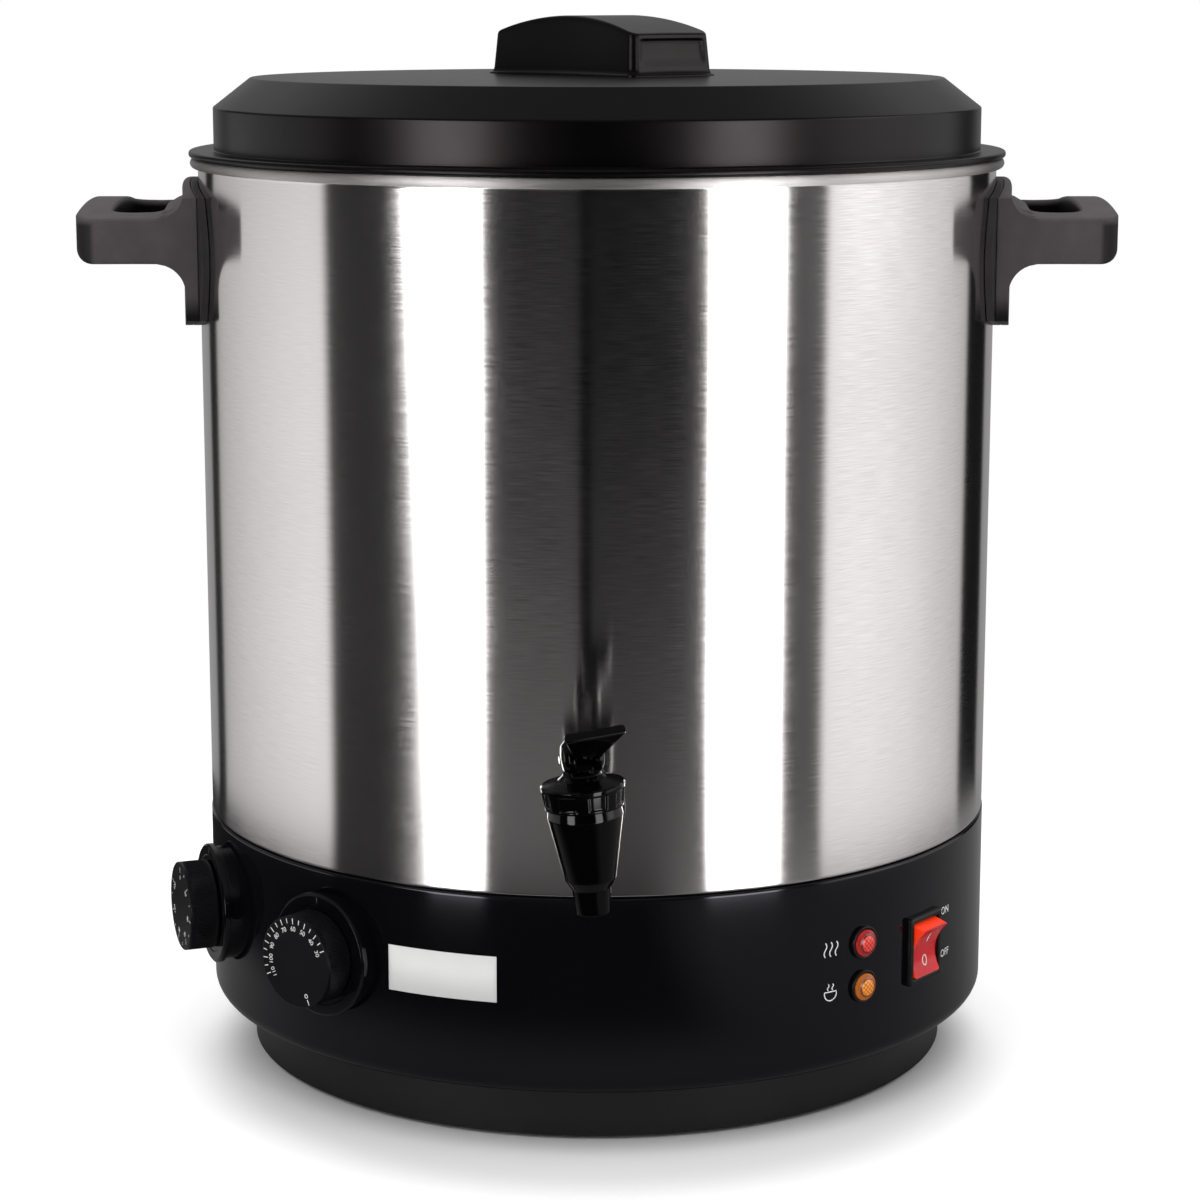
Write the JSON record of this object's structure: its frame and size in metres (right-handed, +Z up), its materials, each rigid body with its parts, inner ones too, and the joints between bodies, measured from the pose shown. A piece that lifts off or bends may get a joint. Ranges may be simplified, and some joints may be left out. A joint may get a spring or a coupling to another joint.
{
  "type": "mulled wine kettle",
  "caption": "Electric mulled wine kettle: brushed steel pot with lift-off lid, side handles and a lever tap, on a black base with a temperature dial, a timer, lamps and a rocker switch.",
  "frame": {"origin": "on the pot's axis, at the level of the surface it stands on", "axes": "+Z up along the pot's axis, -Y to the front with the tap, +X to the right as seen from the front"},
  "size_m": [0.46, 0.4424, 0.4724],
  "materials": {
    "steel": "brushed round the pot",
    "lid_plastic": "fine matte grain",
    "handle_plastic": "satin",
    "spacer_plastic": "satin",
    "base_gloss": "glossy",
    "pan_plastic": "satin",
    "rubber": "plain",
    "silicone": "translucent white",
    "zinc_steel": "zinc plated",
    "heater_steel": "heat dulled",
    "aluminium": "rolled sheet",
    "copper": "drawn",
    "ivory_plastic": "moulded",
    "cutout_ceramic": "unglazed",
    "knob_plastic": "knurled side, satin face",
    "switch_plastic": "satin",
    "brass": "stamped",
    "red_plastic": "translucent red",
    "red_lens": "clear red",
    "amber_lens": "clear amber",
    "tap_gloss": "glossy",
    "wire_skin": "silicone sleeve"
  },
  "bodies": {
    "kettle": {"pot_shell": "steel", "pot_floor": "steel", "handle_left": "handle_plastic", "handle_right": "handle_plastic", "handle_spacer_left": "spacer_plastic", "handle_spacer_right": "spacer_plastic", "pot_seat_ring": "spacer_plastic", "base_housing": "base_gloss", "temperature_bezel": "base_gloss", "timer_bezel": "base_gloss", "base_pan": "pan_plastic", "rubber_feet": "rubber", "well_plug": "rubber", "pot_gasket": "rubber", "tap_outer_washer": "rubber", "tap_inner_washer": "rubber", "handle_screws": "zinc_steel", "base_screws": "zinc_steel", "tie_rod": "zinc_steel", "tie_washer": "zinc_steel", "tie_nut": "zinc_steel", "thermostat_nut": "zinc_steel", "timer_nut": "zinc_steel", "tap_spring": "zinc_steel", "heater_tube_ring": "heater_steel", "heat_spreader": "aluminium", "heat_shield": "aluminium", "sensor_bulb": "copper", "thermostat_body": "ivory_plastic", "timer_body": "ivory_plastic", "terminal_block": "ivory_plastic", "lamp_bodies": "ivory_plastic", "thermal_cutout": "cutout_ceramic", "switch_housing": "switch_plastic", "lamp_bezels": "switch_plastic", "cord_gland": "switch_plastic", "cord_gland_nut": "switch_plastic", "switch_terminals": "brass", "lamp_lens_red": "red_lens", "lamp_lens_amber": "amber_lens", "tap_body": "tap_gloss", "tap_bonnet": "tap_gloss", "tap_lock_nut": "tap_gloss", "wiring": "wire_skin"},
    "lid": {"lid_shell": "lid_plastic", "lid_skirt": "lid_plastic", "lid_grip": "lid_plastic", "lid_grip_screws": "zinc_steel"},
    "temperature_dial": {"temperature_knob": "knob_plastic", "thermostat_shaft": "zinc_steel"},
    "timer_dial": {"timer_knob": "knob_plastic", "timer_shaft": "zinc_steel"},
    "rocker": {"switch_rocker": "red_plastic"},
    "stem": {"tap_stem": "tap_gloss", "tap_seat": "silicone"},
    "lever": {"tap_lever": "tap_gloss", "tap_lever_pin": "zinc_steel"}
  },
  "joints": [
    {"name": "lid_lift", "type": "slide", "parent": "kettle", "child": "lid", "axis": [0, 0, 1], "range_m": [0, 0.2]},
    {"name": "temperature_turn", "type": "hinge", "parent": "kettle", "child": "temperature_dial", "pos_m": [-0.11548, -0.1386, 0.077], "axis": [0.6401, 0.7683, 0], "range_deg": [-158, 112]},
    {"name": "timer_turn", "type": "hinge", "parent": "kettle", "child": "timer_dial", "pos_m": [-0.16898, -0.06318, 0.077], "axis": [0.9367, 0.3502, 0], "range_deg": [0, 300]},
    {"name": "power_rocker", "type": "hinge", "parent": "kettle", "child": "rocker", "pos_m": [0.14214, -0.10946, 0.0704], "axis": [-0.6101, -0.7923, 0], "range_deg": [0, 20]},
    {"name": "tap_stem_lift", "type": "slide", "parent": "kettle", "child": "stem", "axis": [-0.0819, 0.0014, 0.9966], "range_m": [0, 0.00285], "deforming": ["tap_spring"]},
    {"name": "tap_lever_tilt", "type": "hinge", "parent": "stem", "child": "lever", "pos_m": [-0.0066, -0.22792, 0.18482], "axis": [0.9749, 0.208, 0.0798], "range_deg": [0, 40], "stiffness_Nm_per_rad": 0.25, "springref_deg": -17.19}
  ],
  "couplings": [
    {"joint": "tap_stem_lift", "follows": "tap_lever_tilt", "m_per_rad": 0.0039193}
  ]
}
